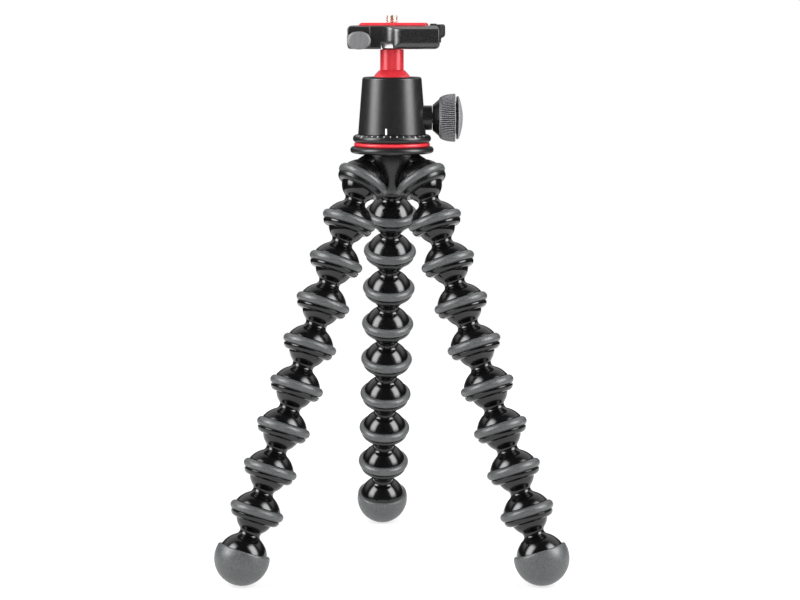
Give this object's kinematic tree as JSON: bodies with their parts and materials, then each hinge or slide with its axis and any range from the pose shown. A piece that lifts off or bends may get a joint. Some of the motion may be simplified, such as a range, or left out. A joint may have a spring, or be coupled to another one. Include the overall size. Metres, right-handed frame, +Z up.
{
  "type": "flexible leg tripod",
  "caption": "Small camera tripod with bendable ball-and-socket legs, rubber grip rings and feet, a panning ball head with a lock knob, and a screw clamp with a sliding camera plate.",
  "frame": {"origin": "on the floor under the middle of the box that the standing tripod fills", "axes": "+Z up along the head's column; +Y to the rear leg; +X to the side of the lock knob"},
  "size_m": [0.1868, 0.1688, 0.2973],
  "materials": {
    "gloss_black": "gloss black moulding",
    "grip_rubber": "matte grey",
    "dark_metal": "satin near-black, fine grain",
    "red_metal": "red anodised",
    "clamp_black": "satin black",
    "thumb_grey": "satin grey",
    "knob_black": "satin black",
    "knob_grey": "knurled matte grey",
    "bright_steel": "polished",
    "steel": "plain",
    "screw_metal": "bright",
    "bronze": "plain",
    "nylon": "natural",
    "level_fluid": "clear tinted fluid"
  },
  "bodies": {
    "hub": {"hub_body": "gloss_black", "hub_grip_rings": "grip_rubber", "hub_disc": "dark_metal", "disc_screws": "steel", "hub_stud": "steel", "trim_ring": "red_metal", "pan_base": "dark_metal", "pan_retaining_ring": "steel"},
    "head": {"ball_housing": "dark_metal", "housing_floor_ring": "dark_metal", "ball_seat": "nylon", "lock_wedge": "bronze", "pan_washer": "nylon"},
    "lock_knob": {"lock_spindle": "steel", "lock_knob": "knob_black", "lock_knob_grip": "knob_grey", "lock_knob_cap": "knob_black"},
    "ball": {"ball_stem": "red_metal", "stem_collar": "bright_steel", "clamp_body": "clamp_black", "clamp_bolt": "steel", "level_vial": "level_fluid"},
    "clamp_jaw": {"clamp_jaw": "clamp_black", "jaw_guide_pins": "steel"},
    "thumb_knob": {"clamp_thumb_knob": "thumb_grey", "clamp_screw": "steel"},
    "plate": {"camera_plate": "red_metal", "plate_pads": "grip_rubber"},
    "camera_screw": {"camera_screw": "screw_metal"},
    "left_link_1": {"left_link_1": "gloss_black"},
    "left_link_2": {"left_link_2": "gloss_black"},
    "left_link_3": {"left_link_3": "gloss_black"},
    "left_link_4": {"left_link_4": "gloss_black"},
    "left_link_5": {"left_link_5": "gloss_black"},
    "left_link_6": {"left_link_6": "gloss_black"},
    "left_link_7": {"left_link_7": "gloss_black"},
    "left_link_8": {"left_link_8": "gloss_black"},
    "left_foot": {"left_foot": "gloss_black", "left_boot": "grip_rubber"},
    "right_link_1": {"right_link_1": "gloss_black"},
    "right_link_2": {"right_link_2": "gloss_black"},
    "right_link_3": {"right_link_3": "gloss_black"},
    "right_link_4": {"right_link_4": "gloss_black"},
    "right_link_5": {"right_link_5": "gloss_black"},
    "right_link_6": {"right_link_6": "gloss_black"},
    "right_link_7": {"right_link_7": "gloss_black"},
    "right_link_8": {"right_link_8": "gloss_black"},
    "right_foot": {"right_foot": "gloss_black", "right_boot": "grip_rubber"},
    "rear_link_1": {"rear_link_1": "gloss_black"},
    "rear_link_2": {"rear_link_2": "gloss_black"},
    "rear_link_3": {"rear_link_3": "gloss_black"},
    "rear_link_4": {"rear_link_4": "gloss_black"},
    "rear_link_5": {"rear_link_5": "gloss_black"},
    "rear_link_6": {"rear_link_6": "gloss_black"},
    "rear_link_7": {"rear_link_7": "gloss_black"},
    "rear_link_8": {"rear_link_8": "gloss_black"},
    "rear_foot": {"rear_foot": "gloss_black", "rear_boot": "grip_rubber"}
  },
  "joints": [
    {"name": "pan", "type": "hinge", "parent": "hub", "child": "head", "pos_m": [0, -0.02206, 0.23451], "axis": [0, 0, 1], "continuous": true},
    {"name": "lock_turn", "type": "hinge", "parent": "head", "child": "lock_knob", "pos_m": [0, -0.02206, 0.24311], "axis": [1, 0, 0], "range_deg": [0, 360]},
    {"name": "ball_tilt", "type": "hinge", "parent": "head", "child": "ball", "pos_m": [0, -0.02206, 0.25961], "axis": [-1, 0, 0], "range_deg": [-27, 90]},
    {"name": "jaw_slide", "type": "slide", "parent": "ball", "child": "clamp_jaw", "axis": [-0.0523, -0.9986, 0], "range_m": [0, 0.003]},
    {"name": "thumb_turn", "type": "hinge", "parent": "clamp_jaw", "child": "thumb_knob", "pos_m": [-0.01713, -0.04319, 0.28421], "axis": [-0.0523, -0.9986, 0], "range_deg": [0, 1350.5]},
    {"name": "plate_slide", "type": "slide", "parent": "ball", "child": "plate", "axis": [-0.9986, 0.0523, 0], "range_m": [0, 0.036]},
    {"name": "camera_screw_turn", "type": "hinge", "parent": "plate", "child": "camera_screw", "pos_m": [0, -0.02206, 0.29341], "axis": [0, 0, 1], "continuous": true},
    {"name": "left_bend_1", "type": "hinge", "parent": "hub", "child": "left_link_1", "pos_m": [-0.01663, -0.03166, 0.20841], "axis": [-0.5225, 0.8526, 0], "range_deg": [-20.6, 49.4]},
    {"name": "left_bend_2", "type": "hinge", "parent": "left_link_1", "child": "left_link_2", "pos_m": [-0.02353, -0.03588, 0.18688], "axis": [-0.7981, -0.4891, 0.3518], "range_deg": [-35, 35]},
    {"name": "left_bend_3", "type": "hinge", "parent": "left_link_2", "child": "left_link_3", "pos_m": [-0.03043, -0.04011, 0.16536], "axis": [0.5225, -0.8526, 0], "range_deg": [-35, 35]},
    {"name": "left_bend_4", "type": "hinge", "parent": "left_link_3", "child": "left_link_4", "pos_m": [-0.03733, -0.04434, 0.14383], "axis": [0.7981, 0.4891, -0.3518], "range_deg": [-35, 35]},
    {"name": "left_bend_5", "type": "hinge", "parent": "left_link_4", "child": "left_link_5", "pos_m": [-0.04423, -0.04857, 0.1223], "axis": [-0.5225, 0.8526, 0], "range_deg": [-35, 35]},
    {"name": "left_bend_6", "type": "hinge", "parent": "left_link_5", "child": "left_link_6", "pos_m": [-0.05113, -0.0528, 0.10077], "axis": [-0.7981, -0.4891, 0.3518], "range_deg": [-35, 35]},
    {"name": "left_bend_7", "type": "hinge", "parent": "left_link_6", "child": "left_link_7", "pos_m": [-0.05803, -0.05702, 0.07924], "axis": [0.5225, -0.8526, 0], "range_deg": [-35, 35]},
    {"name": "left_bend_8", "type": "hinge", "parent": "left_link_7", "child": "left_link_8", "pos_m": [-0.06493, -0.06125, 0.05771], "axis": [0.7981, 0.4891, -0.3518], "range_deg": [-35, 35]},
    {"name": "left_foot_bend", "type": "hinge", "parent": "left_link_8", "child": "left_foot", "pos_m": [-0.07183, -0.06548, 0.03618], "axis": [-0.5225, 0.8526, 0], "range_deg": [-35, 35]},
    {"name": "right_bend_1", "type": "hinge", "parent": "hub", "child": "right_link_1", "pos_m": [0.01663, -0.03166, 0.20841], "axis": [-0.5225, -0.8526, 0], "range_deg": [-20.6, 49.4]},
    {"name": "right_bend_2", "type": "hinge", "parent": "right_link_1", "child": "right_link_2", "pos_m": [0.02353, -0.03588, 0.18688], "axis": [0.7981, -0.4891, 0.3518], "range_deg": [-35, 35]},
    {"name": "right_bend_3", "type": "hinge", "parent": "right_link_2", "child": "right_link_3", "pos_m": [0.03043, -0.04011, 0.16536], "axis": [0.5225, 0.8526, 0], "range_deg": [-35, 35]},
    {"name": "right_bend_4", "type": "hinge", "parent": "right_link_3", "child": "right_link_4", "pos_m": [0.03733, -0.04434, 0.14383], "axis": [-0.7981, 0.4891, -0.3518], "range_deg": [-35, 35]},
    {"name": "right_bend_5", "type": "hinge", "parent": "right_link_4", "child": "right_link_5", "pos_m": [0.04423, -0.04857, 0.1223], "axis": [-0.5225, -0.8526, 0], "range_deg": [-35, 35]},
    {"name": "right_bend_6", "type": "hinge", "parent": "right_link_5", "child": "right_link_6", "pos_m": [0.05113, -0.0528, 0.10077], "axis": [0.7981, -0.4891, 0.3518], "range_deg": [-35, 35]},
    {"name": "right_bend_7", "type": "hinge", "parent": "right_link_6", "child": "right_link_7", "pos_m": [0.05803, -0.05702, 0.07924], "axis": [0.5225, 0.8526, 0], "range_deg": [-35, 35]},
    {"name": "right_bend_8", "type": "hinge", "parent": "right_link_7", "child": "right_link_8", "pos_m": [0.06493, -0.06125, 0.05771], "axis": [-0.7981, 0.4891, -0.3518], "range_deg": [-35, 35]},
    {"name": "right_foot_bend", "type": "hinge", "parent": "right_link_8", "child": "right_foot", "pos_m": [0.07183, -0.06548, 0.03618], "axis": [-0.5225, -0.8526, 0], "range_deg": [-35, 35]},
    {"name": "rear_bend_1", "type": "hinge", "parent": "hub", "child": "rear_link_1", "pos_m": [0, -0.00285, 0.20841], "axis": [0.9963, 0.0854, 0], "range_deg": [-20.6, 49.4]},
    {"name": "rear_bend_2", "type": "hinge", "parent": "rear_link_1", "child": "rear_link_2", "pos_m": [-0.00069, 0.00521, 0.18688], "axis": [-0.08, 0.9326, 0.3518], "range_deg": [-35, 35]},
    {"name": "rear_bend_3", "type": "hinge", "parent": "rear_link_2", "child": "rear_link_3", "pos_m": [-0.00138, 0.01327, 0.16536], "axis": [-0.9963, -0.0854, 0], "range_deg": [-35, 35]},
    {"name": "rear_bend_4", "type": "hinge", "parent": "rear_link_3", "child": "rear_link_4", "pos_m": [-0.00207, 0.02133, 0.14383], "axis": [0.08, -0.9326, -0.3518], "range_deg": [-35, 35]},
    {"name": "rear_bend_5", "type": "hinge", "parent": "rear_link_4", "child": "rear_link_5", "pos_m": [-0.00277, 0.0294, 0.1223], "axis": [0.9963, 0.0854, 0], "range_deg": [-35, 35]},
    {"name": "rear_bend_6", "type": "hinge", "parent": "rear_link_5", "child": "rear_link_6", "pos_m": [-0.00346, 0.03746, 0.10077], "axis": [-0.08, 0.9326, 0.3518], "range_deg": [-35, 35]},
    {"name": "rear_bend_7", "type": "hinge", "parent": "rear_link_6", "child": "rear_link_7", "pos_m": [-0.00415, 0.04552, 0.07924], "axis": [-0.9963, -0.0854, 0], "range_deg": [-35, 35]},
    {"name": "rear_bend_8", "type": "hinge", "parent": "rear_link_7", "child": "rear_link_8", "pos_m": [-0.00484, 0.05358, 0.05771], "axis": [0.08, -0.9326, -0.3518], "range_deg": [-35, 35]},
    {"name": "rear_foot_bend", "type": "hinge", "parent": "rear_link_8", "child": "rear_foot", "pos_m": [-0.00553, 0.06165, 0.03618], "axis": [0.9963, 0.0854, 0], "range_deg": [-35, 35]}
  ],
  "couplings": [
    {"joint": "thumb_turn", "follows": "jaw_slide", "rad_per_m": 7854}
  ]
}
